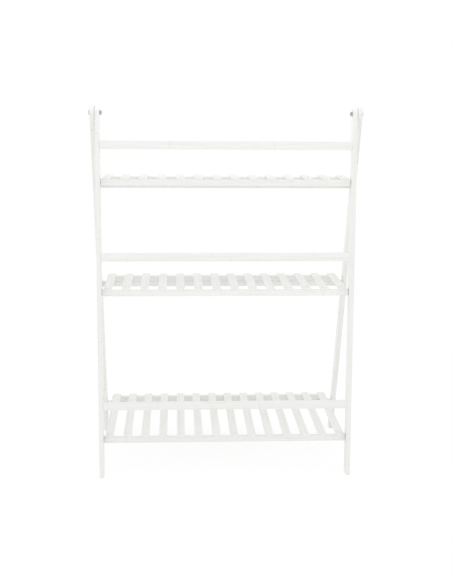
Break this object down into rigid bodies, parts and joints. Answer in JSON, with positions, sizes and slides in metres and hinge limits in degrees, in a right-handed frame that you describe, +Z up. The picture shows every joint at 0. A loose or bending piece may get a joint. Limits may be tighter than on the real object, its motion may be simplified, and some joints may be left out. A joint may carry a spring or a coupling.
{
  "type": "folding bamboo shelf",
  "caption": "Folding A-frame shelf of white lacquered bamboo: slatted tiers that get deeper towards the floor, guard bars in front, a rear frame on top bolts and tiers that lift up.",
  "frame": {"origin": "on the floor, in the middle of the footprint of the opened shelf", "axes": "+Z up, +X to the right seen from the guard bars' side, +Y from the guard bars to the sloping rear legs"},
  "size_m": [0.706, 0.3988, 0.978],
  "materials": {
    "white_lacquer": "satin white lacquer on bamboo",
    "plated_steel": "zinc plated",
    "dull_steel": "dull zinc plated",
    "bare_wood": "bare"
  },
  "bodies": {
    "front_frame": {"front_leg_left": "white_lacquer", "front_leg_right": "white_lacquer", "guard_bar_top": "white_lacquer", "guard_bar_middle": "white_lacquer", "guard_bar_bottom": "white_lacquer", "pivot_bolts": "plated_steel", "pivot_nuts": "dull_steel", "tier_pins": "plated_steel", "guard_dowels": "bare_wood"},
    "rear_frame": {"rear_leg_left": "white_lacquer", "rear_leg_right": "white_lacquer", "cross_bar_top": "white_lacquer", "cross_bar_middle": "white_lacquer", "cross_bar_bottom": "white_lacquer", "cross_screws": "plated_steel"},
    "top_tier": {"top_front_rail": "white_lacquer", "top_rear_rail": "white_lacquer", "top_slats": "white_lacquer"},
    "middle_tier": {"middle_front_rail": "white_lacquer", "middle_rear_rail": "white_lacquer", "middle_slats": "white_lacquer"},
    "bottom_tier": {"bottom_front_rail": "white_lacquer", "bottom_rear_rail": "white_lacquer", "bottom_slats": "white_lacquer"}
  },
  "joints": [
    {"name": "rear_frame_fold", "type": "hinge", "parent": "front_frame", "child": "rear_frame", "pos_m": [0, -0.11634, 0.96], "axis": [-1, 0, 0], "range_deg": [0, 21.3]},
    {"name": "top_tier_lift", "type": "hinge", "parent": "front_frame", "child": "top_tier", "pos_m": [0, -0.1224, 0.7825], "axis": [1, 0, 0], "range_deg": [0, 85.9]},
    {"name": "middle_tier_lift", "type": "hinge", "parent": "front_frame", "child": "middle_tier", "pos_m": [0, -0.1428, 0.4945], "axis": [1, 0, 0], "range_deg": [0, 85.9]},
    {"name": "bottom_tier_lift", "type": "hinge", "parent": "front_frame", "child": "bottom_tier", "pos_m": [0, -0.17085, 0.0985], "axis": [1, 0, 0], "range_deg": [0, 85.9]}
  ]
}
